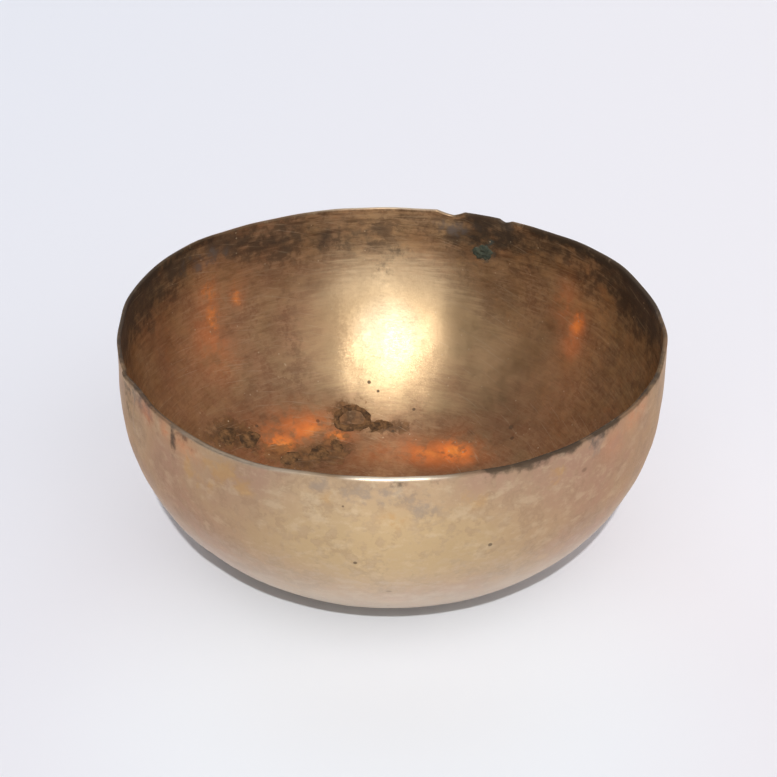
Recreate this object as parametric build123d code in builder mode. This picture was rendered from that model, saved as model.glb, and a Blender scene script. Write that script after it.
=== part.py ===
"""Offering bowl: one piece of hammered bronze, with the dried matter that sticks to its inside.

Millimetres, +Z up. The origin is the middle of the flat foot, and the front of the bowl faces -Y.
Azimuths are in degrees from +X towards +Y, so the back of the bowl is at 90.
"""
import os
from math import cos, degrees, pi, radians, sin

from build123d import *

# Bowl
RIM_DIAMETER = 180.0
HEIGHT = 78.5
FOOT_DIAMETER = 50.0  # the flat that the bowl stands on
RIM_BAND = 14.5  # straight part of the wall below the rim
WALL = 2.4
RIM_ROUND = 0.8  # rounding of the rim's two edges
QUARTER_TURN = 90  # degrees of the wall's curve, from flat to upright

# Chips broken out of the rim, with their left and right as seen from inside the bowl
LARGE_CHIP_AZIMUTH = 75.4
LARGE_CHIP_DEPTH = 1.7
LARGE_CHIP_LEFT = 6.0  # from the deepest point to the left end
LARGE_CHIP_RIGHT = 4.4
SMALL_CHIP_AZIMUTH = 62.8
SMALL_CHIP_DEPTH = 1.2
SMALL_CHIP_LEFT = 2.6
SMALL_CHIP_RIGHT = 3.0

# Dried matter on the inside. A patch is placed by its azimuth and by its distance along the inner wall
# from the middle of the floor. Its outline is the radii of its edge at equal angles, counted from its
# right-hand side, as seen from inside the bowl.
CRUST = 0.4
CRUST_CLEARANCE = 0.2  # between the dried matter and the wall
CRUST_REACH = 5.0  # how far a patch's outline is carried through the curve of the wall

RING_AZIMUTH = 104.3
RING_ALONG = 56.8
RING_OUTLINE = (6.9, 6.6, 5.9, 5.5, 6.0, 6.9, 7.3, 6.7, 5.7, 5.4, 5.8, 6.5)
RING_HOLE = (4.9, 4.2, 3.6, 3.4, 3.7, 4.3, 4.6, 3.9, 2.6, 2.3, 2.8, 4.1)
TAIL_RIGHT = 10.4  # from the middle of the ring to the middle of its tail
TAIL_BELOW = 3.4
TAIL_OUTLINE = (4.4, 2.6, 1.9, 1.9, 3.0, 4.6, 4.4, 2.4, 1.9, 2.6)

PATCH_AZIMUTHS = (151.5, 145.2, 137.6, 124.0, 114.2)
PATCH_ALONGS = (68.6, 62.6, 48.8, 45.6, 46.4)
PATCH_OUTLINES = (
    (4.4, 3.4, 2.9, 3.6, 4.6, 4.0, 2.7, 3.5),
    (4.6, 3.6, 2.8, 4.1, 4.9, 3.4, 2.5, 3.1),
    (4.6, 2.8, 2.2, 2.9, 4.5, 3.5, 2.3, 3.0),
    (3.8, 3.6, 3.0, 3.4, 4.4, 3.4, 2.6, 3.1),
    (1.7, 2.5, 3.4, 2.6, 1.7, 2.4, 3.0, 2.3),
)

VERDIGRIS_AZIMUTH = 68.0
VERDIGRIS_BELOW_RIM = 13.8
VERDIGRIS_OUTLINE = (3.9, 3.4, 2.9, 3.1, 3.8, 3.3, 2.6, 2.9)

os.makedirs("parts", exist_ok=True)

rim_radius = RIM_DIAMETER / 2
foot_radius = FOOT_DIAMETER / 2
curve_top = HEIGHT - RIM_BAND
rim_round = min(RIM_ROUND, 0.4 * WALL)


def half_outline(inset):
    """Radius and height of the wall, from the middle of the floor to the rim, inset from the outer face."""
    with BuildLine() as outline:
        Line((0, inset), (foot_radius, inset))
        curve = EllipticalCenterArc(
            (foot_radius, curve_top),
            rim_radius - foot_radius - inset,
            curve_top - inset,
            start_angle=-QUARTER_TURN,
            arc_size=QUARTER_TURN,
        )
        Line(curve @ 1, (rim_radius - inset, HEIGHT))
    return outline.wires()[0]


def half_section(inset):
    """The face between that outline and the bowl's axis."""
    with BuildSketch(Plane.XZ) as section:
        with BuildLine():
            add(half_outline(inset))
            Polyline((rim_radius - inset, HEIGHT), (0, HEIGHT), (0, inset))
        make_face()
    return section.sketch


inner_outline = half_outline(WALL)
ring_radius = inner_outline.position_at(RING_ALONG, position_mode=PositionMode.LENGTH).X
tail_azimuth = RING_AZIMUTH - degrees(TAIL_RIGHT / ring_radius)
tail_along = RING_ALONG - TAIL_BELOW
verdigris_along = inner_outline.length - VERDIGRIS_BELOW_RIM


def rim_plane(azimuth):
    """A plane at the rim's top that faces into the bowl, with +X to the right as seen from inside."""
    turn = radians(azimuth)
    inwards = Vector(-cos(turn), -sin(turn), 0)
    return Plane(
        origin=Vector(0, 0, HEIGHT) - inwards * rim_radius,
        x_dir=(sin(turn), -cos(turn), 0),
        z_dir=inwards,
    )


def wall_plane(azimuth, along):
    """A plane that touches the inner wall, with +X to the right and +Y up the wall as seen from inside."""
    point = inner_outline.position_at(along, position_mode=PositionMode.LENGTH)
    slope = inner_outline.tangent_at(along, position_mode=PositionMode.LENGTH)
    unturned = Plane(origin=(point.X, 0, point.Y), x_dir=(0, -1, 0), z_dir=(-slope.Y, 0, slope.X))
    return Plane(Rotation(0, 0, azimuth) * unturned.location)


def chip_face(azimuth, depth, left, right):
    """A V that hangs from the rim's top, with room above it to cut the rim clear."""
    with BuildSketch(rim_plane(azimuth)) as face:
        with BuildLine():
            Polyline((-left, 0), (0, -depth), (right, 0), (right, depth), (-left, depth), close=True)
        make_face()
    return face.sketch


def edge_points(radii):
    """The points of an uneven round outline, from its radii at equal angles."""
    step = 2 * pi / len(radii)
    return [(radius * cos(i * step), radius * sin(i * step)) for i, radius in enumerate(radii)]


def patch_face(azimuth, along, radii, hole=()):
    """An uneven round face that touches the inner wall, with an uneven hole in it if it has one."""
    with BuildSketch(wall_plane(azimuth, along)) as face:
        with BuildLine():
            Spline(*edge_points(radii), periodic=True)
        make_face()
        if hole:
            with BuildLine():
                Spline(*edge_points(hole), periodic=True)
            make_face(mode=Mode.SUBTRACT)
    return face.sketch


def keep_crust():
    """Cuts the solids made so far to a thin layer that lies on the inner wall."""
    outside = WALL + CRUST_CLEARANCE
    revolve(half_section(outside), axis=Axis.Z, mode=Mode.INTERSECT)
    revolve(half_section(outside + CRUST), axis=Axis.Z, mode=Mode.SUBTRACT)


with BuildPart() as bowl:
    revolve(half_section(0), axis=Axis.Z)
    revolve(half_section(WALL), axis=Axis.Z, mode=Mode.SUBTRACT)
    fillet(bowl.edges().group_by(Axis.Z)[-1].filter_by(GeomType.CIRCLE), rim_round)
    large_chip = chip_face(LARGE_CHIP_AZIMUTH, LARGE_CHIP_DEPTH, LARGE_CHIP_LEFT, LARGE_CHIP_RIGHT)
    small_chip = chip_face(SMALL_CHIP_AZIMUTH, SMALL_CHIP_DEPTH, SMALL_CHIP_LEFT, SMALL_CHIP_RIGHT)
    extrude(large_chip, amount=2 * WALL, both=True, mode=Mode.SUBTRACT)
    extrude(small_chip, amount=2 * WALL, both=True, mode=Mode.SUBTRACT)

with BuildPart() as residue_ring:
    ring_face = patch_face(RING_AZIMUTH, RING_ALONG, RING_OUTLINE, hole=RING_HOLE)
    tail_face = patch_face(tail_azimuth, tail_along, TAIL_OUTLINE)
    extrude(ring_face, amount=CRUST_REACH, both=True)
    extrude(tail_face, amount=CRUST_REACH, both=True)
    keep_crust()

with BuildPart() as residue_patches:
    for azimuth, along, outline in zip(PATCH_AZIMUTHS, PATCH_ALONGS, PATCH_OUTLINES):
        extrude(patch_face(azimuth, along, outline), amount=CRUST_REACH, both=True)
    keep_crust()

with BuildPart() as verdigris_crust:
    verdigris_face = patch_face(VERDIGRIS_AZIMUTH, verdigris_along, VERDIGRIS_OUTLINE)
    extrude(verdigris_face, amount=CRUST_REACH, both=True)
    keep_crust()

bowl.part.label = "bowl"
residue_ring.part.label = "residue_ring"
residue_patches.part.label = "residue_patches"
verdigris_crust.part.label = "verdigris_crust"

export_step(bowl.part, "parts/bowl.step")
export_step(residue_ring.part, "parts/residue_ring.step")
export_step(residue_patches.part, "parts/residue_patches.step")
export_step(verdigris_crust.part, "parts/verdigris_crust.step")
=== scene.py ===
"""The looks of the offering bowl: hammered bronze, worn and tarnished, with dried matter inside it.

Lengths in this file are millimetres until a mesh is made, where MM turns them into metres.
Azimuths are degrees from +X towards +Y: the camera stands at -90, and the back of the bowl is at 90.
A place on the wall is an azimuth and a distance along the wall from the middle of the floor.
"""

import bpy
import numpy as np
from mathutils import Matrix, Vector


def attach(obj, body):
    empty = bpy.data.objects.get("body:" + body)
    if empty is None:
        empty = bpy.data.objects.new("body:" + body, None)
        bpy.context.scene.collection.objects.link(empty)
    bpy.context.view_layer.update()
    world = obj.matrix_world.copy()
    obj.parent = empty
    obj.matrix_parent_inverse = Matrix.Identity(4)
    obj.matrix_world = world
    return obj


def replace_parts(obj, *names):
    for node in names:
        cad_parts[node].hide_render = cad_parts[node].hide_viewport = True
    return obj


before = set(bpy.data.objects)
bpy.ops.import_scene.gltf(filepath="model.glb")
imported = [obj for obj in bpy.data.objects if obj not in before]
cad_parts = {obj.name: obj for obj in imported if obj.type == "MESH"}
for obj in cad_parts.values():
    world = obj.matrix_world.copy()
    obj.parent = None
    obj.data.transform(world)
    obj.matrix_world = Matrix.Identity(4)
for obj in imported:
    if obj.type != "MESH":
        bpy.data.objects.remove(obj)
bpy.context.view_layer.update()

MM = 0.001
rng = np.random.default_rng(7)

# Light
KEY_STRENGTH = 2.05
KEY_ELEVATION = 43.7
KEY_TURN = 0.5  # degrees to the right of the camera
KEY_SPREAD = 1.2
ROOM_LIGHT = 0.07
WINDOW_LIGHT = 1.1  # added by a tall window behind the camera
SIDE_LIGHT = 0.65  # added by a softer one on the right
SIDE_WAY = (0.82, -0.38, 0.42)  # towards it
BACKDROP_LIGHT = 0.6  # added behind the bowl
HORIZON_LIGHT = 0.84

# Camera, in metres
CAMERA_PLACE = (0.0, -0.62647, 0.43337)
CAMERA_AIM = (-0.00061, 0.0, 0.05554)
CAMERA_LENS = 102.13
CAMERA_SENSOR = 36.0
CAMERA_ROLL = 0.34  # degrees
FLOOR_REACH = 12.0

# Bowl, as in the CAD model
RIM_RADIUS = 90.0
HEIGHT = 78.5
FOOT_RADIUS = 25.0
CURVE_TOP = 64.0
WALL = 2.4
RIM_CROWN = 1.1  # height of the rounded top of the rim
CROWN_POWER = 0.75  # below 1 makes that top squarer than a half round

# Out-of-round places of the rim: azimuth, half width in degrees, push outwards,
# height where the push begins
RIM_PUSHES = (
    (32.0, 15.0, 1.4, 18.0),
    (145.0, 17.0, 2.0, 18.0),
    (181.0, 13.0, -1.1, 18.0),
    (86.0, 18.0, -1.1, 60.0),
    (205.0, 13.0, -1.6, 18.0),
    (243.0, 11.0, 1.5, 18.0),
    (268.0, 14.0, -0.9, 18.0),
    (322.0, 28.0, -0.8, 18.0),
)
PUSH_TOP = 74.0  # height where a push is at its full depth
# Fine ripples of the rim: size, waves around it, start in degrees
RIM_RIPPLES = ((0.16, 11, 40), (0.11, 23, 160))

# Shallow pushes of the back wall, one out and one in, that bring the reflection there to its place:
# azimuth, distance along the wall, half width, half height, push outwards
BACK_PUSHES = (
    (74.0, 92.0, 16.0, 16.0, 0.5),
    (104.0, 92.0, 16.0, 16.0, -0.5),
)

# How much thinner the wall is at the rim: everywhere, then azimuth, half width in degrees, more
THINNING = 0.4
THIN_PLACES = ((175.0, 45.0, 1.0), (95.0, 40.0, 0.9), (0.0, 30.0, 0.6))
THIN_REACH = 50.0  # how far below the rim the wall starts to thin

# The crease beside the dent on the left: azimuth and height of its points
CREASE = ((199.0, 78.5), (207.0, 75.0), (205.0, 66.0))
CREASE_HEIGHT = 0.75
CREASE_WIDTH = 1.2

# Chips of the rim: azimuth, depth, length to the left and to the right as seen from inside
CHIPS = (
    (75.4, 1.7, 6.0, 4.4),
    (62.8, 1.2, 2.6, 3.0),
)
CHIP_REACH = 7.0  # how far down the wall the mesh gives way to a chip

HAMMER_MARKS = 620
HAMMER_RADIUS = (6.0, 11.0)
HAMMER_DEPTH = (0.03, 0.10)

COLUMNS = 620
# Where the mesh's columns are closer together: azimuth, half width in degrees, how much closer
FINE_COLUMNS = ((70.0, 11.0, 2.2), (204.0, 9.0, 1.4))
OUTER_ROWS = 46
CROWN_ROWS = 10
INNER_ROWS = 86

MARK_FALLOFF = 0.7  # how fast a mark fades from its middle
# Stains of the metal, with painted highlights, glints and reflections among them inside: azimuth, distance
# along the wall, half width, half height, strength
INNER_MARKS = {
    "tarnish": (
        (176.0, 134.0, 34.0, 13.0, 1.0),
        (158.0, 131.0, 22.0, 12.0, 0.85),
        (145.0, 133.0, 16.0, 9.0, 0.85),
        (132.0, 134.0, 18.0, 8.0, 0.75),
        (116.0, 128.0, 18.0, 9.0, 0.6),
        (106.5, 125.6, 5.0, 4.5, 0.85),
        (98.0, 126.0, 12.0, 7.0, 0.65),
        (88.0, 129.0, 26.0, 5.0, 0.35),
        (117.0, 92.0, 8.0, 26.0, 0.3),
        (18.0, 134.0, 34.0, 13.0, 1.0),
        (44.0, 135.0, 22.0, 8.0, 0.65),
        (58.0, 130.0, 14.0, 8.0, 0.65),
        (70.0, 129.0, 13.0, 8.0, 0.75),
        (310.0, 132.0, 60.0, 10.0, 0.75),
        (230.0, 132.0, 60.0, 10.0, 0.7),
    ),
    "soot": (
        (66.5, 136.0, 10.0, 4.4, 1.0),
        (63.0, 130.5, 6.0, 5.0, 0.75),
        (68.5, 129.5, 5.0, 5.0, 0.75),
        (92.0, 113.0, 5.0, 6.0, 0.42),
        (88.0, 119.0, 6.0, 4.0, 0.4),
    ),
    "film": (
        (104.3, 56.8, 8.0, 6.8, 0.92),
        (92.0, 52.6, 9.0, 3.0, 0.8),
        (153.0, 70.5, 8.0, 4.6, 0.9),
        (147.6, 65.0, 8.0, 4.6, 0.9),
        (146.0, 59.4, 6.0, 4.4, 0.85),
        (142.0, 52.7, 6.5, 4.4, 0.85),
        (134.5, 46.8, 9.0, 5.4, 1.0),
        (121.0, 45.4, 10.0, 6.0, 1.0),
        (114.4, 46.2, 5.0, 5.0, 0.95),
        (108.6, 48.0, 3.0, 6.0, 0.75),
    ),
    "pink": (
        (146.0, 92.0, 30.0, 26.0, 0.78),
        (117.0, 96.0, 15.0, 20.0, 0.7),
        (46.0, 80.0, 32.0, 22.0, 0.5),
    ),
    "rust": (
        (90.0, 37.0, 44.0, 13.0, 1.0),
        (140.0, 60.0, 24.0, 12.0, 0.7),
        (40.0, 66.0, 34.0, 18.0, 0.55),
        (270.0, 40.0, 60.0, 24.0, 0.8),
    ),
    # Painted highlight where the light's reflection lies on the back wall, on metal that is also polished
    # a little smoother there.
    "polish_and_painted_highlight": (
        (91.0, 91.0, 32.0, 28.0, 1.0),
        (99.0, 102.0, 9.0, 13.0, 0.8),
        (83.0, 102.0, 9.0, 12.0, 0.8),
        (105.0, 90.0, 8.0, 20.0, 0.85),
        (73.0, 90.0, 12.0, 20.0, 0.85),
        (60.0, 82.0, 16.0, 22.0, 0.75),
        (72.0, 66.0, 16.0, 8.0, 0.65),
        (88.0, 62.0, 15.0, 7.0, 0.5),
        (48.0, 84.0, 22.0, 26.0, 0.5),
    ),
    # Painted reflections inside: bright orange patches where light bounces between the walls and the
    # floor.
    "copper_and_painted_reflection": (
        (124.0, 56.5, 11.0, 6.0, 0.78),
        (137.0, 55.5, 8.0, 6.0, 1.0),
        (131.0, 58.5, 15.0, 7.0, 0.6),
        (112.0, 50.2, 5.0, 3.0, 1.2),
        (59.3, 45.7, 6.5, 4.4, 1.4),
        (55.0, 48.0, 12.0, 7.0, 0.3),
        (71.0, 42.0, 9.0, 5.0, 0.75),
        (92.0, 41.0, 14.0, 5.0, 0.2),
        (136.5, 112.0, 5.0, 10.0, 0.28),
        (129.0, 113.5, 3.0, 4.6, 0.45),
        (139.0, 99.0, 7.0, 9.0, 0.35),
        (45.0, 112.0, 4.0, 7.0, 0.35),
        (40.3, 107.0, 3.2, 4.6, 0.75),
        (40.0, 100.0, 4.0, 6.0, 0.35),
    ),
    # Painted glints of light in those orange patches.
    "painted_glint": (
        (136.3, 54.0, 4.4, 4.0, 0.8),
        (121.0, 55.5, 5.0, 2.6, 0.5),
        (112.3, 50.1, 4.0, 2.4, 0.75),
        (59.0, 45.8, 3.2, 2.4, 0.8),
        (71.0, 42.0, 6.0, 2.0, 0.45),
        (136.5, 117.0, 3.0, 5.0, 0.55),
        (137.0, 107.0, 3.0, 5.0, 0.55),
        (129.2, 111.8, 2.4, 4.0, 0.55),
        (40.3, 107.4, 2.6, 4.0, 0.6),
    ),
    "slate": (
        (73.6, 131.0, 8.0, 3.0, 0.7),
        (62.0, 136.0, 3.5, 2.0, 0.8),
        (137.5, 129.0, 12.0, 5.0, 0.5),
    ),
    "teal": ((68.0, 122.6, 4.2, 3.6, 0.8), (70.6, 123.0, 2.5, 2.5, 0.7), (66.3, 127.5, 1.8, 1.8, 0.7)),
}
OUTER_MARKS = {
    "tarnish": ((212.0, 137.0, 16.0, 6.0, 0.35),),
    "soot": (
        (202.0, 134.0, 5.0, 6.0, 0.55),
        (222.5, 136.4, 1.3, 5.5, 0.8),
        (227.0, 139.0, 7.0, 2.5, 0.5),
        (271.4, 139.4, 3.0, 1.4, 0.6),
        (278.5, 139.4, 1.8, 1.3, 0.6),
        (313.8, 139.0, 3.0, 3.0, 0.5),
    ),
    # Orange patina on the outside.
    "copper_and_painted_reflection": (
        (212.0, 137.6, 4.5, 3.6, 0.45),
        (219.8, 137.4, 3.0, 2.6, 0.4),
        (226.6, 136.5, 5.5, 4.0, 0.4),
        (320.8, 134.2, 6.0, 5.0, 0.18),
        (327.0, 137.4, 5.0, 4.0, 0.3),
        (331.3, 139.6, 4.0, 4.0, 0.3),
    ),
    "pink": (
        (222.0, 122.0, 30.0, 18.0, 0.35),
        (318.0, 124.0, 30.0, 18.0, 0.3),
        (150.0, 120.0, 40.0, 20.0, 0.5),
        (40.0, 124.0, 30.0, 20.0, 0.5),
    ),
    "yellow": (
        (227.8, 130.0, 3.4, 4.0, 0.8),
        (236.0, 135.0, 6.0, 4.0, 0.8),
        (231.5, 126.0, 5.0, 3.0, 0.6),
        (241.4, 131.6, 4.0, 3.0, 0.6),
        (258.4, 134.0, 3.5, 2.6, 0.6),
        (304.0, 132.6, 3.0, 3.6, 0.7),
        (271.0, 126.5, 5.0, 4.0, 0.5),
        (285.4, 132.0, 5.0, 4.0, 0.5),
    ),
    "gold": (
        (270.0, 115.0, 44.0, 17.0, 1.0),
        (92.0, 112.0, 56.0, 24.0, 0.8),
        (20.0, 104.0, 34.0, 22.0, 0.6),
    ),
    "slate": (
        (256.9, 136.9, 3.0, 3.0, 0.7),
        (268.0, 135.0, 16.0, 4.0, 0.5),
        (276.5, 130.1, 5.0, 4.0, 0.6),
        (314.3, 138.0, 4.0, 4.0, 0.8),
        (208.0, 138.5, 14.0, 2.6, 0.6),
    ),
}
# Dark deposits on the rim, and painted shade along its broad stretches: azimuth, half width in degrees,
# strength
RIM_GRIME_AND_SHADE = (
    (290.8, 3.4, 0.95),
    (298.5, 5.0, 1.15),
    (307.0, 3.8, 1.0),
    (317.4, 4.8, 1.15),
    (67.0, 6.5, 1.0),
    # The broad stretches from here on are painted shade along the rim's inner edge.
    (28.0, 30.0, 0.9),
    (205.0, 12.0, 0.6),
    (340.0, 14.0, 0.55),
    (166.0, 34.0, 0.8),
)
# Worn places of the rim, lightened further by a painted highlight: azimuth, half width in degrees,
# strength
RIM_WEAR_AND_HIGHLIGHT = ((92.0, 15.0, 1.0), (271.5, 9.5, 1.0), (240.0, 16.0, 0.4))
FIELDS = (
    "tarnish", "soot", "film", "pink", "rust", "polish_and_painted_highlight",
    "copper_and_painted_reflection", "painted_glint", "yellow", "gold", "slate", "teal",
)

# Pits: azimuth, distance along the wall, radius
INNER_PITS = (
    (96.7, 70.7, 0.9),
    (94.0, 67.1, 0.7),
    (44.9, 63.5, 1.2),
    (41.7, 60.1, 0.9),
    (81.5, 60.2, 0.8),
    (139.3, 65.5, 0.8),
    (117.3, 58.6, 0.9),
    (88.8, 50.6, 0.8),
)
OUTER_PITS = (
    (263.3, 108.9, 0.8),
    (236.3, 117.1, 0.8),
    (290.0, 113.4, 0.9),
    (261.2, 130.7, 0.6),
)

# Crusts of dried matter, as in the CAD model: azimuth, distance along the wall, radii at equal angles
RING = (104.3, 56.8)
RING_OUTLINE = (6.9, 6.6, 5.9, 5.5, 6.0, 6.9, 7.3, 6.7, 5.7, 5.4, 5.8, 6.5)
RING_HOLE = (4.9, 4.2, 3.6, 3.4, 3.7, 4.3, 4.6, 3.9, 2.6, 2.3, 2.8, 4.1)
TAIL = (93.6, 53.4, (4.4, 2.6, 1.9, 1.9, 3.0, 4.6, 4.4, 2.4, 1.9, 2.6))
PATCHES = (
    (151.5, 68.6, (4.4, 3.4, 2.9, 3.6, 4.6, 4.0, 2.7, 3.5)),
    (145.2, 62.6, (4.6, 3.6, 2.8, 4.1, 4.9, 3.4, 2.5, 3.1)),
    (137.6, 48.8, (4.6, 2.8, 2.2, 2.9, 4.5, 3.5, 2.3, 3.0)),
    (124.0, 45.6, (3.8, 3.6, 3.0, 3.4, 4.4, 3.4, 2.6, 3.1)),
    (114.2, 46.4, (1.7, 2.5, 3.4, 2.6, 1.7, 2.4, 3.0, 2.3)),
)
VERDIGRIS = (68.0, 122.2, (3.9, 3.4, 2.9, 3.1, 3.8, 3.3, 2.6, 2.9))
CRUST_HEIGHT = 0.4
CRUST_ROOT = 0.25  # how far a crust reaches into the wall, before it is made lumpy
VERDIGRIS_UNEVENNESS = 0.11
FULL_TURN = 6.28  # radians, near enough for random waves


def smoothstep(low, high, value):
    share = np.clip((value - low) / (high - low), 0.0, 1.0)
    return share * share * (3.0 - 2.0 * share)


def turn_between(azimuth, centre):
    """The signed angle in degrees from centre to azimuth, the short way round."""
    return (azimuth - centre + 180.0) % 360.0 - 180.0


class WallLine:
    """The bowl's half outline at an inset from the outer face, measured along its length."""

    def __init__(self, inset):
        angle = np.linspace(-np.pi / 2, 0.0, 400)
        curve_r = FOOT_RADIUS + (RIM_RADIUS - FOOT_RADIUS - inset) * np.cos(angle)
        curve_z = CURVE_TOP + (CURVE_TOP - inset) * np.sin(angle)
        self.r = np.concatenate(([0.0], curve_r, [RIM_RADIUS - inset]))
        self.z = np.concatenate(([inset], curve_z, [HEIGHT - RIM_CROWN]))
        steps = np.hypot(np.diff(self.r), np.diff(self.z))
        self.lengths = np.concatenate(([0.0], np.cumsum(steps)))
        self.length = self.lengths[-1]

    def point(self, along):
        return np.interp(along, self.lengths, self.r), np.interp(along, self.lengths, self.z)

    def normal(self, along):
        """Unit vector that points away from the bowl's inside, as radius and height."""
        ahead_r, ahead_z = self.point(np.minimum(along + 0.5, self.length))
        behind_r, behind_z = self.point(np.maximum(along - 0.5, 0.0))
        slope_r, slope_z = ahead_r - behind_r, ahead_z - behind_z
        size = np.hypot(slope_r, slope_z)
        return slope_z / size, -slope_r / size


OUTER = WallLine(0.0)
INNER = WallLine(WALL)


def hammer_marks():
    """Middles, radii and depths of the hammer's marks, spread evenly over the wall."""
    along = INNER.length * np.sqrt(rng.uniform(0.01, 1.0, HAMMER_MARKS))
    turn = rng.uniform(0.0, 2.0 * np.pi, HAMMER_MARKS)
    r, z = INNER.point(along)
    middles = np.stack((r * np.cos(turn), r * np.sin(turn), z), axis=1)
    return middles, rng.uniform(*HAMMER_RADIUS, HAMMER_MARKS), rng.uniform(*HAMMER_DEPTH, HAMMER_MARKS)


MARKS = hammer_marks()


def hammered(points):
    """How far the hammer pushed each point of the sheet outwards."""
    pushed = np.zeros(len(points))
    for middle, radius, depth in zip(*MARKS):
        near = np.sum((points - middle) ** 2, axis=1) / radius**2
        pushed += depth * np.clip(1.0 - near, 0.0, None)
    return pushed


def rim_push(azimuth, z):
    """How far the wall stands out of round, outwards: most at the rim, less below it."""
    ripple = np.zeros_like(azimuth)
    for size, waves, start in RIM_RIPPLES:
        ripple += size * np.sin(np.radians(waves * azimuth + start))
    push = ripple * smoothstep(0.0, PUSH_TOP, z)
    for centre, half_width, depth, start in RIM_PUSHES:
        near = np.exp(-((turn_between(azimuth, centre) / half_width) ** 2))
        push += depth * near * smoothstep(start, PUSH_TOP, z)
    return push


def thinning(azimuth, z):
    """How far the inner face stands back from an even wall, towards the rim."""
    thin = np.full_like(azimuth, THINNING)
    for centre, half_width, more in THIN_PLACES:
        thin += more * np.exp(-((turn_between(azimuth, centre) / half_width) ** 2))
    return thin * smoothstep(HEIGHT - THIN_REACH, HEIGHT, z)


def near_mark(azimuth, along, r, mark):
    """How near each point of the wall is to a mark: 1 at its middle, less towards its edge."""
    centre, place, half_across, half_up, _ = mark
    across = np.radians(turn_between(azimuth, centre)) * r / half_across
    up = (along - place) / half_up
    return np.exp(-MARK_FALLOFF * (across**2 + up**2))


def back_push(azimuth, along, r):
    """How far the back wall is pushed outwards."""
    push = np.zeros_like(azimuth)
    for place in BACK_PUSHES:
        push += place[-1] * near_mark(azimuth, along, r, place)
    return push


def rim_drop(azimuth):
    """How far the top of the rim lies below its full height, at the chips and along its worn edge."""
    drop = 0.10 * (1.0 + np.sin(np.radians(7 * azimuth + 25))) + 0.05 * np.sin(np.radians(31 * azimuth))
    for centre, depth, left, right in CHIPS:
        across = -np.radians(turn_between(azimuth, centre)) * RIM_RADIUS
        reach = np.where(across < 0.0, left, right)
        drop = np.maximum(drop, depth * np.clip(1.0 - (np.abs(across) / reach) ** 1.4, 0.0, None))
    return drop


def crease_push(azimuth, z):
    """The ridge of the crease beside the dent."""
    nearest = np.full(len(azimuth), np.inf)
    for (start_turn, start_z), (end_turn, end_z) in zip(CREASE, CREASE[1:]):
        run = np.array((np.radians(end_turn - start_turn) * RIM_RADIUS, end_z - start_z))
        across = np.radians(turn_between(azimuth, start_turn)) * RIM_RADIUS
        up = z - start_z
        share = np.clip((across * run[0] + up * run[1]) / (run @ run), 0.0, 1.0)
        nearest = np.minimum(nearest, np.hypot(across - share * run[0], up - share * run[1]))
    return CREASE_HEIGHT * np.exp(-((nearest / CREASE_WIDTH) ** 2))


def shaped(azimuth, along, r, z, normal_r, normal_z, side):
    """Points of the sheet, pushed as the hammer, the knocks and the wear left it."""
    turn = np.radians(azimuth)
    flat = np.stack((r * np.cos(turn), r * np.sin(turn), z), axis=1)
    push = hammered(flat) * smoothstep(1.0, 9.0, z) + back_push(azimuth, along, r)
    sideways = rim_push(azimuth, z) + crease_push(azimuth, z) + side * thinning(azimuth, z)
    r = r + push * normal_r + sideways
    z = z + push * normal_z
    z = z - rim_drop(azimuth) * smoothstep(HEIGHT - CHIP_REACH, HEIGHT, z)
    return np.stack((r * np.cos(turn), r * np.sin(turn), z), axis=1)


def columns():
    """Azimuths of the mesh's columns, closer together at the chips and at the dent on the left."""
    fine = np.linspace(0.0, 360.0, 7201)
    density = np.ones_like(fine)
    for centre, half_width, closer in FINE_COLUMNS:
        density += closer * np.exp(-((turn_between(fine, centre) / half_width) ** 2))
    share = np.concatenate(([0.0], np.cumsum((density[1:] + density[:-1]) / 2)))
    wanted = np.linspace(0.0, share[-1], COLUMNS, endpoint=False)
    return np.interp(wanted, share, fine)


def section():
    """The rows of the bowl's section from the outer foot over the rim to the inner floor.

    Each row has a radius, a height, a normal, a distance along the wall and a side (0 outside, 1 inside).
    """
    outer_along = OUTER.length * np.linspace(0.0, 1.0, OUTER_ROWS + 1)[1:]
    inner_along = INNER.length * np.linspace(1.0, 0.0, INNER_ROWS + 1)[:-1]
    crown = np.linspace(0.0, np.pi, CROWN_ROWS + 2)[1:-1]
    sideways = np.sign(np.cos(crown)) * np.abs(np.cos(crown)) ** CROWN_POWER
    crown_r = RIM_RADIUS - WALL / 2 + WALL / 2 * sideways
    crown_z = HEIGHT - RIM_CROWN + RIM_CROWN * np.sin(crown) ** CROWN_POWER
    crown_along = np.where(crown < np.pi / 2, OUTER.length, INNER.length)
    outer_r, outer_z = OUTER.point(outer_along)
    inner_r, inner_z = INNER.point(inner_along)
    outer_n = OUTER.normal(outer_along)
    inner_n = INNER.normal(inner_along)
    flat = np.zeros(CROWN_ROWS)
    r = np.concatenate((outer_r, crown_r, inner_r))
    z = np.concatenate((outer_z, crown_z, inner_z))
    normal_r = np.concatenate((outer_n[0], flat + 1.0, inner_n[0]))
    normal_z = np.concatenate((outer_n[1], flat, inner_n[1]))
    along = np.concatenate((outer_along, crown_along, inner_along))
    side = np.concatenate((np.zeros(OUTER_ROWS), crown / np.pi, np.ones(INNER_ROWS)))
    return r, z, normal_r, normal_z, along, side


def new_piece(name, points, faces, material, slot):
    """A smooth mesh object that rides with the bowl."""
    mesh = bpy.data.meshes.new(name)
    mesh.from_pydata((points * MM).tolist(), [], faces)
    mesh.polygons.foreach_set("use_smooth", [True] * len(mesh.polygons))
    mesh.materials.append(material)
    mesh.update()
    piece = bpy.data.objects.new(name, mesh)
    bpy.context.collection.objects.link(piece)
    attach(piece, "root")
    return piece


def set_field(piece, name, values):
    field = piece.data.attributes.new(name, "FLOAT", "POINT")
    field.data.foreach_set("value", values.astype(np.float32))


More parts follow.
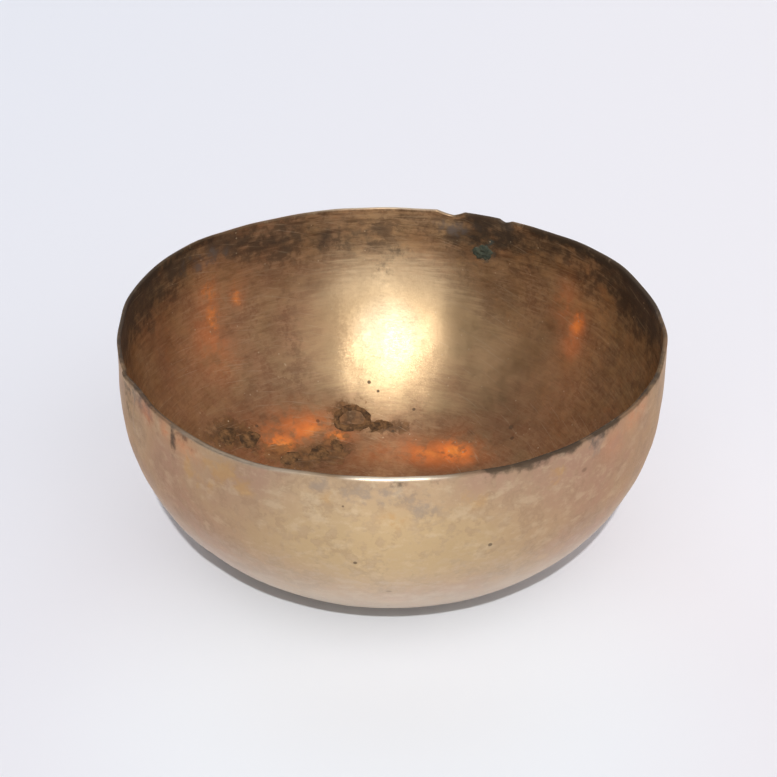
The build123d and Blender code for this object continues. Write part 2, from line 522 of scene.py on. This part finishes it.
def set_places(piece, name, places):
    field = piece.data.attributes.new(name, "FLOAT_VECTOR", "POINT")
    field.data.foreach_set("vector", places.astype(np.float32).ravel())


def grid_faces(rows, row_size, closed_rows=False):
    """Quads between neighbouring rows of points, where each row is a closed loop."""
    faces = []
    for row in range(rows if closed_rows else rows - 1):
        here, above = row * row_size, (row + 1) % rows * row_size
        for i in range(row_size):
            j = (i + 1) % row_size
            faces.append((here + i, here + j, above + j, above + i))
    return faces


def mark_field(azimuth, along, r, marks):
    """How strongly each point is marked by stains or by painted light, from the marks near it."""
    field = np.zeros_like(azimuth)
    for mark in marks:
        field = np.maximum(field, mark[-1] * near_mark(azimuth, along, r, mark))
    return field


def rim_field(azimuth, places):
    """How strongly each point is marked by places along the rim, whatever its height."""
    field = np.zeros_like(azimuth)
    for centre, half_width, strength in places:
        field = np.maximum(field, strength * np.exp(-((turn_between(azimuth, centre) / half_width) ** 4)))
    return field


def make_bowl(material):
    azimuths = columns()
    rows = section()
    count = len(rows[0])
    azimuth = np.tile(azimuths, count)
    r, z, normal_r, normal_z, along, side = (np.repeat(values, COLUMNS) for values in rows)
    points = shaped(azimuth, along, r, z, normal_r, normal_z, side)
    ends = np.array([[0.0, 0.0, 0.0], [0.0, 0.0, points[-COLUMNS:, 2].mean()]])
    faces = grid_faces(count, COLUMNS)
    outer_end, inner_end = len(points), len(points) + 1
    last = (count - 1) * COLUMNS
    for i in range(COLUMNS):
        j = (i + 1) % COLUMNS
        faces.append((j, i, outer_end))
        faces.append((last + i, last + j, inner_end))
    bowl = new_piece("bronze_bowl", np.concatenate((points, ends)), faces, material, "bronze")
    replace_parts(bowl, "bowl")
    set_field(bowl, "side", np.append(side, (0.0, 1.0)))
    on_crown = smoothstep(0.0, 0.3, side) * smoothstep(0.25, 0.6, 1.0 - side)
    set_field(bowl, "rim_wear_and_painted_highlight", np.append(rim_field(azimuth, RIM_WEAR_AND_HIGHLIGHT) * on_crown, (0.0, 0.0)))
    set_field(bowl, "along", np.append(along, (0.0, 0.0)))
    # Grime and painted shade reach over the top few millimetres of the rim, more on its inner side.
    near_rim = smoothstep(HEIGHT - 5.0, HEIGHT - 1.0, z) * (0.55 + 0.45 * smoothstep(0.0, 0.35, side))
    set_field(bowl, "grime_and_painted_shade", np.append(rim_field(azimuth, RIM_GRIME_AND_SHADE) * near_rim, (0.0, 0.0)))
    for name in FIELDS:
        inner = mark_field(azimuth, along, r, INNER_MARKS.get(name, ())) * (side > 0.5)
        outer = mark_field(azimuth, along, r, OUTER_MARKS.get(name, ())) * (side < 0.5)
        set_field(bowl, name, np.append(inner + outer, (0.0, 0.0)))
    turn = np.radians(azimuth)
    around = np.stack((np.cos(turn), np.sin(turn), along * 0.01), axis=1)
    set_places(bowl, "around", np.concatenate((around, [[0.0, 0.0, 0.0], [0.0, 0.0, 0.0]])))
    return bowl


def radii_at(radii, angle):
    """The radius of an uneven outline at any angle, smoothly between its given radii."""
    step = 2.0 * np.pi / len(radii)
    place = angle / step
    first = np.floor(place).astype(int)
    share = place - first
    share = share * share * (3.0 - 2.0 * share)
    radii = np.array(radii)
    return radii[first % len(radii)] * (1.0 - share) + radii[(first + 1) % len(radii)] * share


def on_wall(azimuth, along, across, up, lift):
    """Points at a lift over the inner wall, from places across and up the wall from a middle."""
    along_there = along + up
    r, z = INNER.point(along_there)
    turned = azimuth - np.degrees(across / r)
    normal_r, normal_z = INNER.normal(along_there)
    points = shaped(turned, along_there, r, z, normal_r, normal_z, 1.0)
    turn = np.radians(turned)
    inwards = np.stack((-normal_r * np.cos(turn), -normal_r * np.sin(turn), -normal_z), axis=1)
    return points + inwards * lift[:, None]


def ragged(angle, size):
    """Uneven factors around 1 for the edge of a crust."""
    edge = np.ones_like(angle)
    for waves in (3, 5, 8, 13):
        depth = size * 2.0 / waves**0.5 * rng.uniform(0.3, 1.0)
        edge += depth * np.cos(waves * angle + rng.uniform(0.0, FULL_TURN))
    return edge


def lumpy(across, up, size):
    """Uneven factors around 1 for the height of a crust, smooth over a millimetre or so."""
    height = np.ones_like(across)
    for _ in range(14):
        pitch, heading = rng.uniform(1.4, 4.5), rng.uniform(0.0, FULL_TURN)
        wave = (across * np.cos(heading) + up * np.sin(heading)) * FULL_TURN / pitch
        height += size * 0.35 * np.cos(wave + rng.uniform(0.0, FULL_TURN))
    return height


def patch_mesh(azimuth, along, radii, height, unevenness=0.09, rings=9, spokes=44):
    """Points and faces of one closed low lump with an uneven edge."""
    angle = np.linspace(0.0, 2.0 * np.pi, spokes, endpoint=False)
    edge = radii_at(radii, angle) * ragged(angle, unevenness)
    shares = np.linspace(1.0, 0.0, rings + 1)[:-1]
    reach = np.concatenate(([1.0], shares))
    across = (reach[:, None] * edge * np.cos(angle)).ravel()
    up = (reach[:, None] * edge * np.sin(angle)).ravel()
    dome = np.repeat(np.concatenate(([-CRUST_ROOT], height * (1.0 - shares**2.2))), spokes)
    points = on_wall(azimuth, along, across, up, dome * lumpy(across, up, 0.5))
    ends = on_wall(azimuth, along, np.zeros(2), np.zeros(2), np.array([-CRUST_ROOT, height]))
    faces = grid_faces(rings + 1, spokes)
    last = rings * spokes
    for i in range(spokes):
        j = (i + 1) % spokes
        faces.append((j, i, len(points)))
        faces.append((last + i, last + j, len(points) + 1))
    return np.concatenate((points, ends)), faces


def ring_mesh(azimuth, along, outline, hole, height, steps=8, spokes=72):
    """Points and faces of one closed low ridge between an uneven hole and an uneven edge."""
    angle = np.linspace(0.0, 2.0 * np.pi, spokes, endpoint=False)
    outer = radii_at(outline, angle) * ragged(angle, 0.04)
    inner = radii_at(hole, angle) * ragged(angle, 0.06)
    shares = np.concatenate((np.linspace(0.0, 1.0, steps), [1.0, 0.0]))
    dome = height * (1.0 - np.abs(2.0 * np.linspace(0.0, 1.0, steps) - 1.0) ** 2.4)
    heights = np.repeat(np.concatenate((dome, [-CRUST_ROOT, -CRUST_ROOT])), spokes)
    radius = inner + shares[:, None] * (outer - inner)
    across = (radius * np.cos(angle)).ravel()
    up = (radius * np.sin(angle)).ravel()
    points = on_wall(azimuth, along, across, up, heights * lumpy(across, up, 0.5))
    return points, grid_faces(steps + 2, spokes, closed_rows=True)


def joined(meshes):
    """Several meshes' points and faces as one."""
    points, faces = [], []
    for some_points, some_faces in meshes:
        start = sum(len(block) for block in points)
        points.append(some_points)
        faces.extend(tuple(start + i for i in face) for face in some_faces)
    return np.concatenate(points), faces


def make_crusts(dried, green):
    ring_and_tail = [
        ring_mesh(*RING, RING_OUTLINE, RING_HOLE, CRUST_HEIGHT),
        patch_mesh(*TAIL, CRUST_HEIGHT),
    ]
    ring = joined(ring_and_tail)
    patches = joined([patch_mesh(*patch, CRUST_HEIGHT) for patch in PATCHES])
    verdigris = patch_mesh(*VERDIGRIS, CRUST_HEIGHT, VERDIGRIS_UNEVENNESS)
    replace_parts(new_piece("dried_ring", *ring, dried, "residue"), "residue_ring")
    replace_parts(new_piece("dried_patches", *patches, dried, "residue"), "residue_patches")
    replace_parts(new_piece("green_crust", *verdigris, green, "verdigris"), "verdigris_crust")


class Nodes:
    """Short calls for the nodes of one material. An input is a constant or another node's output."""

    def __init__(self, name):
        self.material = bpy.data.materials.new(name)
        self.material.use_nodes = True
        self.tree = self.material.node_tree
        self.tree.nodes.clear()

    def put(self, socket, value):
        if isinstance(value, bpy.types.NodeSocket):
            self.tree.links.new(value, socket)
        else:
            socket.default_value = value

    def add(self, kind, inputs, **settings):
        node = self.tree.nodes.new(kind)
        for key, value in settings.items():
            setattr(node, key, value)
        for key, value in inputs.items():
            self.put(node.inputs[key], value)
        return node

    def field(self, name, output="Fac"):
        return self.add("ShaderNodeAttribute", {}, attribute_name=name).outputs[output]

    def place(self):
        return self.add("ShaderNodeTexCoord", {}).outputs["Object"]

    def stretched(self, where, x, y, z):
        return self.add("ShaderNodeVectorMath", {0: where, 1: (x, y, z)}, operation="MULTIPLY").outputs[0]

    def noise(self, where, scale, detail=4.0, rough=0.55):
        inputs = {"Vector": where, "Scale": scale, "Detail": detail, "Roughness": rough}
        return self.add("ShaderNodeTexNoise", inputs).outputs["Fac"]

    def cells(self, where, scale):
        """Distance to the nearest of many scattered points, and a random share for each."""
        node = self.add("ShaderNodeTexVoronoi", {"Vector": where, "Scale": scale})
        share = self.add("ShaderNodeSeparateColor", {"Color": node.outputs["Color"]}).outputs["Red"]
        return node.outputs["Distance"], share

    def math(self, operation, a, b=0.0, clamp=False):
        return self.add("ShaderNodeMath", {0: a, 1: b}, operation=operation, use_clamp=clamp).outputs[0]

    def weighted(self, a, share_a, b, share_b):
        """The sum of two values, each times its share."""
        return self.math("ADD", self.math("MULTIPLY", a, share_a), self.math("MULTIPLY", b, share_b))

    def span(self, value, low, high, to_low=0.0, to_high=1.0):
        inputs = {"Value": value, "From Min": low, "From Max": high, "To Min": to_low, "To Max": to_high}
        return self.add("ShaderNodeMapRange", inputs, interpolation_type="SMOOTHSTEP").outputs["Result"]

    def blotch(self, name, noise, breakup=0.9, soft=0.14):
        """A mask for a stain or a painted light mark: its field, with edges broken up by noise."""
        field = self.field(name)
        reach = self.span(field, 0.0, 0.4, 0.0, breakup)
        uneven = self.math("MULTIPLY", self.math("SUBTRACT", noise, 0.5), reach)
        return self.span(self.math("ADD", field, uneven), 0.5 - soft, 0.5 + soft)

    def soft(self, name, noise):
        """A mask for a stain or a painted light mark: its field, made uneven by noise."""
        return self.math("MULTIPLY", self.field(name), self.span(noise, 0.3, 0.7, 0.6, 1.0))

    def spots(self, where, wall, places):
        """A mask of small round spots on one face of the wall."""
        mask = 0.0
        for azimuth, along, radius in places:
            r, z = wall.point(along)
            turn = np.radians(azimuth)
            middle = (r * np.cos(turn) * MM, r * np.sin(turn) * MM, z * MM)
            away = self.add("ShaderNodeVectorMath", {0: where, 1: middle}, operation="DISTANCE")
            spot = self.span(away.outputs["Value"], 0.5 * radius * MM, radius * MM, 1.0, 0.0)
            mask = self.math("MAXIMUM", spot, mask)
        return mask

    def mix(self, share, a, b):
        node = self.add("ShaderNodeMix", {}, data_type="RGBA")
        for socket, value in zip((node.inputs[0], node.inputs[6], node.inputs[7]), (share, a, b)):
            self.put(socket, value)
        return node.outputs[2]

    def tint(self, colour, share, strength, shade):
        """A colour with a shade laid over it."""
        return self.mix(self.math("MULTIPLY", share, strength), colour, shade)

    def finish(self, shader):
        output = self.tree.nodes.new("ShaderNodeOutputMaterial")
        self.tree.links.new(shader, output.inputs["Surface"])
        return self.material


def rgb(red, green, blue):
    """A colour written as it shows on screen, 0 to 255."""
    share = np.array((red, green, blue)) / 255.0
    linear = np.where(share <= 0.04045, share / 12.92, ((share + 0.055) / 1.055) ** 2.4)
    return (*linear.tolist(), 1.0)


def metal_noises(n, where):
    """The uneven patterns that the metal's colour and gloss share, from broad to fine."""
    around = n.field("around", "Vector")
    noises = {
        "cloud": n.noise(where, 30.0, 5.0, 0.6),
        "mottle": n.noise(where, 95.0, 6.0, 0.68),
        "speckle": n.noise(where, 300.0, 4.0, 0.6),
        "fine": n.noise(where, 900.0, 3.0),
        "smears": n.noise(n.stretched(around, 12.0, 12.0, 22.0), 1.0, 6.0, 0.68),
        "hairs": n.noise(n.stretched(around, 26.0, 26.0, 1300.0), 1.0, 3.0, 0.6),
    }
    both = n.weighted(noises["mottle"], 0.5, noises["speckle"], 0.5)
    noises["ragged"] = n.span(both, 0.34, 0.66)
    noises["bands"] = n.noise(n.stretched(around, 5.0, 5.0, 42.0), 1.0, 5.0, 0.65)
    noises["brush"] = n.noise(n.stretched(around, 7.0, 7.0, 95.0), 1.0, 5.0, 0.65)
    return noises


def bronze_with_painted_light(n, inner, noises):
    """The metal's colour: golden outside, browner inside, mottled by wear, with a painted floor reflection
    low outside, painted shade on the underside and a painted highlight on the back wall inside.
    """
    patch = n.span(noises["cloud"], 0.38, 0.62)
    spread = n.span(noises["mottle"], 0.36, 0.66)
    outside = n.mix(patch, rgb(194, 165, 131), rgb(185, 150, 126))
    outside = n.tint(outside, spread, 0.45, rgb(160, 138, 110))
    outside = n.tint(outside, n.blotch("gold", noises["cloud"], 0.5, 0.4), 1.0, rgb(198, 170, 129))
    outside = n.tint(outside, n.span(noises["ragged"], 0.45, 0.8), 0.34, rgb(150, 122, 96))
    outside = n.tint(outside, n.span(noises["smears"], 0.5, 0.66), 0.4, rgb(216, 194, 160))
    outside = n.tint(outside, n.span(noises["speckle"], 0.5, 0.64), 0.22, rgb(212, 186, 152))
    # Painted reflection of the bright floor: the outside is paler low down.
    height = n.math("ADD", n.field("along"), n.span(noises["smears"], 0.3, 0.7, -12.0, 12.0))
    low = n.span(height, 70.0, 112.0, 1.0, 0.0)
    outside = n.tint(outside, low, 0.7, rgb(212, 196, 175))
    # Painted shade: the outside is darker on the underside, towards the foot.
    under = n.span(n.field("along"), 60.0, 86.0, 1.0, 0.0)
    outside = n.tint(outside, under, 0.45, rgb(116, 94, 72))
    inside = n.mix(patch, rgb(183, 154, 115), rgb(177, 139, 106))
    inside = n.tint(inside, spread, 0.5, rgb(146, 120, 92))
    inside = n.tint(inside, n.span(noises["smears"], 0.42, 0.66), 0.5, rgb(116, 90, 68))
    inside = n.tint(inside, n.span(noises["ragged"], 0.45, 0.8), 0.5, rgb(108, 82, 60))
    inside = n.tint(inside, n.span(noises["speckle"], 0.52, 0.64), 0.35, rgb(192, 160, 124))
    high = n.span(n.field("along"), 112.0, 134.0, 0.15, 0.8)
    streaks = n.math("MULTIPLY", n.span(noises["bands"], 0.46, 0.62), high)
    inside = n.tint(inside, streaks, 0.9, rgb(84, 64, 48))
    # Painted highlight: lighter, plainer metal where the light's reflection lies on the back wall,
    # lightest towards its top.
    polish_and_painted_highlight = n.mix(n.span(n.field("polish_and_painted_highlight"), 0.84, 1.0), rgb(202, 174, 132), rgb(196, 176, 144))
    polish_and_painted_highlight = n.tint(polish_and_painted_highlight, n.span(n.field("along"), 94.0, 116.0), 0.7, rgb(220, 196, 160))
    inside = n.tint(inside, n.span(noises["brush"], 0.52, 0.66), 0.35, rgb(116, 90, 66))
    inside = n.tint(inside, n.span(noises["brush"], 0.34, 0.48, 1.0, 0.0), 0.25, rgb(206, 180, 142))
    inside = n.tint(inside, n.blotch("polish_and_painted_highlight", noises["brush"], 0.8, 0.24), 0.88, polish_and_painted_highlight)
    colour = n.mix(inner, outside, inside)
    return n.tint(colour, n.soft("pink", noises["mottle"]), 0.6, rgb(194, 132, 98))


def stains_and_painted_light(n, colour, noises):
    """That colour under its stains and its painted reflections, glints, highlights and shade, and masks of
    where they dull the metal and where the metal is bare.
    """
    ragged_noise = noises["ragged"]
    tarnish = n.blotch("tarnish", ragged_noise, 0.5, 0.4)
    colour = n.tint(colour, tarnish, 0.9, rgb(70, 57, 46))
    colour = n.tint(colour, n.soft("rust", noises["mottle"]), 0.65, rgb(136, 84, 56))
    # Orange patches: patina outside, painted reflections of bounced light inside; they also take some of
    # the metal's sheen away.
    broken = n.span(ragged_noise, 0.15, 0.6, 0.5, 1.0)
    copper_and_painted_reflection = n.math("MULTIPLY", n.soft("copper_and_painted_reflection", noises["mottle"]), broken)
    colour = n.tint(colour, copper_and_painted_reflection, 1.0, rgb(252, 136, 62))
    # Painted glints in the orange patches.
    colour = n.tint(colour, n.blotch("painted_glint", noises["speckle"], 1.2, 0.3), 0.7, rgb(255, 158, 76))
    colour = n.tint(colour, n.blotch("yellow", ragged_noise, 1.0, 0.35), 0.45, rgb(206, 160, 98))
    colour = n.tint(colour, n.blotch("slate", ragged_noise, 0.7, 0.3), 0.45, rgb(138, 130, 124))
    film = n.blotch("film", ragged_noise, 0.8, 0.2)
    dried = n.mix(n.span(noises["speckle"], 0.36, 0.64), rgb(74, 53, 35), rgb(124, 88, 56))
    colour = n.tint(colour, film, 0.9, dried)
    side = n.field("side")
    crown = n.math("MULTIPLY", n.span(side, 0.0, 0.3), n.span(side, 0.7, 1.0, 1.0, 0.0))
    colour = n.tint(colour, crown, 0.55, rgb(122, 98, 76))
    # Soot, the rim's grime and the painted shade along the rim darken the metal together.
    grime_and_painted_shade = n.blotch("grime_and_painted_shade", ragged_noise, 0.5, 0.3)
    soot = n.math("MAXIMUM", n.blotch("soot", ragged_noise, 0.7, 0.4), grime_and_painted_shade)
    colour = n.tint(colour, soot, 0.85, rgb(54, 43, 33))
    # Painted highlight on the rim's worn places.
    rim_wear_and_painted_highlight = n.soft("rim_wear_and_painted_highlight", noises["mottle"])
    colour = n.tint(colour, rim_wear_and_painted_highlight, 0.9, rgb(252, 240, 218))
    teal = n.blotch("teal", ragged_noise, 0.7, 0.25)
    colour = n.tint(colour, teal, 0.6, rgb(70, 84, 80))
    sooty = n.math("MAXIMUM", soot, teal)
    filmy = n.math("MAXIMUM", film, n.math("MULTIPLY", tarnish, 0.6))
    dull = n.math("MAXIMUM", sooty, filmy)
    bare = n.math("SUBTRACT", 1.0, n.math("MULTIPLY", copper_and_painted_reflection, 0.45))
    return colour, dull, bare


def worn(n, colour, where, inner, outer):
    """That colour with pale specks and slanting scratches inside, and dark flecks outside."""
    around = n.field("around", "Vector")
    x, y, z = n.add("ShaderNodeSeparateXYZ", {"Vector": around}).outputs
    slant = n.math("ADD", z, n.math("MULTIPLY", x, 0.3))
    across = n.add("ShaderNodeCombineXYZ", {"X": x, "Y": y, "Z": slant}).outputs["Vector"]
    scratches = n.span(n.noise(n.stretched(across, 5.0, 5.0, 170.0), 1.0, 2.0), 0.6, 0.72)
    away, lot = n.cells(where, 420.0)
    specks = n.math("MULTIPLY", n.span(away, 0.08, 0.16, 1.0, 0.0), n.span(lot, 0.84, 0.86))
    pale = n.math("MAXIMUM", n.math("MULTIPLY", specks, 0.7), n.math("MULTIPLY", scratches, 0.26))
    colour = n.tint(colour, n.math("MULTIPLY", pale, inner), 1.0, rgb(206, 182, 150))
    away, lot = n.cells(n.stretched(around, 7.5, 7.5, 13.0), 1.0)
    flecks = n.math("MULTIPLY", n.span(away, 0.05, 0.13, 1.0, 0.0), n.span(lot, 0.7, 0.95))
    return n.tint(colour, n.math("MULTIPLY", flecks, outer), 0.5, rgb(112, 88, 66))


def bronze_material():
    n = Nodes("hammered_bronze")
    where = n.place()
    noises = metal_noises(n, where)
    inner = n.span(n.field("side"), 0.45, 0.55)
    outer = n.math("SUBTRACT", 1.0, inner)
    colour, dull, bare = stains_and_painted_light(n, bronze_with_painted_light(n, inner, noises), noises)
    colour = worn(n, colour, where, inner, outer)
    pits = n.math("MAXIMUM", n.spots(where, INNER, INNER_PITS), n.spots(where, OUTER, OUTER_PITS))
    colour = n.tint(colour, pits, 0.75, rgb(60, 48, 38))
    dull = n.math("MAXIMUM", dull, pits)

    patina = n.span(noises["mottle"], 0.3, 0.7, 0.12, 0.4)
    covered = n.math("MAXIMUM", n.math("MULTIPLY", dull, 0.8), patina)
    metallic = n.math("SUBTRACT", bare, covered, clamp=True)
    grain = n.weighted(noises["fine"], 0.5, noises["hairs"], 0.5)
    uneven = n.span(grain, 0.36, 0.6, 0.38, 0.45)
    rubbed = n.math("MULTIPLY", n.field("polish_and_painted_highlight"), 0.04)
    rough = n.math("SUBTRACT", n.math("ADD", uneven, n.math("MULTIPLY", dull, 0.2)), rubbed)
    relief = n.weighted(noises["hairs"], 0.3, noises["mottle"], 0.8)
    bump = n.add("ShaderNodeBump", {"Strength": 0.3, "Distance": 0.0004, "Height": relief})
    worn_low = n.span(n.field("along"), 85.0, 118.0, 0.6, 0.0)
    gloss = n.math("MULTIPLY", n.math("MULTIPLY", worn_low, outer), n.math("SUBTRACT", 1.0, dull))
    tangent = n.add("ShaderNodeTangent", {}, direction_type="RADIAL", axis="Z")
    shader = n.add(
        "ShaderNodeBsdfPrincipled",
        {
            "Base Color": colour,
            "Metallic": metallic,
            "Roughness": rough,
            "Specular Tint": rgb(230, 208, 190),
            "Anisotropic": 0.8,
            "Anisotropic Rotation": 0.25,
            "Tangent": tangent.outputs["Tangent"],
            "Normal": bump.outputs["Normal"],
            "Coat Weight": gloss,
            "Coat Roughness": 0.3,
            "Coat IOR": 1.7,
        },
    )
    return n.finish(shader.outputs["BSDF"])


def crust_material(name, light, dark):
    n = Nodes(name)
    where = n.place()
    grain = n.noise(where, 900.0, 5.0, 0.7)
    patch = n.noise(where, 330.0, 3.0, 0.6)
    share = n.weighted(grain, 0.4, patch, 0.6)
    colour = n.mix(n.span(share, 0.36, 0.64), rgb(*dark), rgb(*light))
    bump = n.add("ShaderNodeBump", {"Strength": 0.35, "Distance": 0.0003, "Height": grain})
    shader = n.add(
        "ShaderNodeBsdfPrincipled",
        {
            "Base Color": colour,
            "Roughness": 0.85,
            "Specular IOR Level": 0.2,
            "Normal": bump.outputs["Normal"],
        },
    )
    return n.finish(shader.outputs["BSDF"])


def floor_material():
    """Pale paper, a little bluer to the left and behind, a little pinker to the right and in front, with a
    painted pool of light just before the bowl.
    """
    n = Nodes("pale_floor")
    place = n.add("ShaderNodeSeparateXYZ", {"Vector": n.place()})
    slant = n.weighted(place.outputs["X"], 0.9, place.outputs["Y"], -0.25)
    colour = n.mix(n.span(slant, -0.5, 0.35), rgb(230, 233, 241), rgb(243, 240, 244))
    # Painted light: a paler patch on the floor just before the bowl, lightening the shade the bowl casts
    # there.
    reach = n.add("ShaderNodeVectorMath", {0: n.place(), 1: (0.0, -0.1, 0.0)}, operation="DISTANCE")
    colour = n.tint(colour, n.span(reach.outputs["Value"], 0.05, 0.13, 1.0, 0.0), 0.9, rgb(244, 248, 253))
    shader = n.add("ShaderNodeBsdfPrincipled", {"Base Color": colour, "Roughness": 0.9})
    return n.finish(shader.outputs["BSDF"])


def make_floor():
    mesh = bpy.data.meshes.new("floor")
    ways = ((-1, -1), (1, -1), (1, 1), (-1, 1))
    corners = [(x * FLOOR_REACH, y * FLOOR_REACH, 0.0) for x, y in ways]
    mesh.from_pydata(corners, [], [(0, 1, 2, 3)])
    mesh.materials.append(floor_material())
    floor = bpy.data.objects.new("floor", mesh)
    bpy.context.collection.objects.link(floor)


def make_light():
    key = bpy.data.lights.new("key", "SUN")
    key.energy = KEY_STRENGTH
    key.angle = np.radians(KEY_SPREAD)
    lamp = bpy.data.objects.new("key", key)
    rise, turn = np.radians(KEY_ELEVATION), np.radians(KEY_TURN)
    towards = Vector((np.sin(turn) * np.cos(rise), -np.cos(turn) * np.cos(rise), np.sin(rise)))
    lamp.rotation_euler = towards.to_track_quat("Z", "Y").to_euler()
    bpy.context.collection.objects.link(lamp)


class WorldNodes(Nodes):
    """The same short calls for the nodes of the world."""

    def __init__(self, name):
        self.world = bpy.data.worlds.new(name)
        self.world.use_nodes = True
        self.tree = self.world.node_tree
        self.tree.nodes.clear()


def window(n, x, y, z):
    """The light of a tall window before the bowl, which fades towards its edges."""
    across = n.span(n.math("ABSOLUTE", x), 0.34, 0.62, WINDOW_LIGHT, 0.0)
    above = n.span(z, 0.28, 0.55)
    below = n.span(z, 0.88, 1.0, 1.0, 0.0)
    before = n.span(y, -0.15, -0.05, 1.0, 0.0)
    return n.math("MULTIPLY", n.math("MULTIPLY", across, before), n.math("MULTIPLY", above, below))


def side_window(n, heading):
    """The soft light of a smaller window on the right."""
    facing = n.add("ShaderNodeVectorMath", {0: heading, 1: SIDE_WAY}, operation="DOT_PRODUCT")
    return n.span(facing.outputs["Value"], 0.72, 0.97, 0.0, SIDE_LIGHT)


def make_room():
    """A dim room: windows before and beside the bowl, a pale backdrop behind it and a pale horizon."""
    n = WorldNodes("room")
    bpy.context.scene.world = n.world
    heading = n.add("ShaderNodeTexCoord", {}).outputs["Generated"]
    parts = n.add("ShaderNodeSeparateXYZ", {"Vector": heading})
    x, y, z = parts.outputs
    back = n.weighted(y, 0.85, z, 0.5)
    backdrop = n.span(back, 0.45, 0.85, ROOM_LIGHT, ROOM_LIGHT + BACKDROP_LIGHT)
    horizon = n.span(z, 0.10, 0.28, HORIZON_LIGHT, 0.0)
    windows = n.math("ADD", window(n, x, y, z), side_window(n, heading))
    strength = n.math("MAXIMUM", n.math("ADD", backdrop, windows), horizon)
    background = n.add("ShaderNodeBackground", {"Color": (0.97, 0.97, 1.0, 1.0), "Strength": strength})
    output = n.tree.nodes.new("ShaderNodeOutputWorld")
    n.tree.links.new(background.outputs["Background"], output.inputs["Surface"])


def make_camera():
    camera = bpy.data.cameras.new("camera")
    camera.lens = CAMERA_LENS
    camera.sensor_width = CAMERA_SENSOR
    holder = bpy.data.objects.new("camera", camera)
    holder.location = CAMERA_PLACE
    aim = Vector(CAMERA_AIM)
    holder.rotation_mode = "QUATERNION"
    holder.rotation_quaternion = (aim - holder.location).to_track_quat("-Z", "Y")
    holder.rotation_mode = "XYZ"
    holder.rotation_euler.rotate_axis("Z", np.radians(CAMERA_ROLL))
    bpy.context.collection.objects.link(holder)
    bpy.context.scene.camera = holder


bpy.context.scene.view_settings.view_transform = "Standard"
make_camera()
make_light()
make_room()
make_floor()
make_bowl(bronze_material())
make_crusts(
    crust_material("dried_matter", (126, 91, 58), (66, 48, 32)),
    crust_material("verdigris", (80, 84, 70), (48, 55, 48)),
)
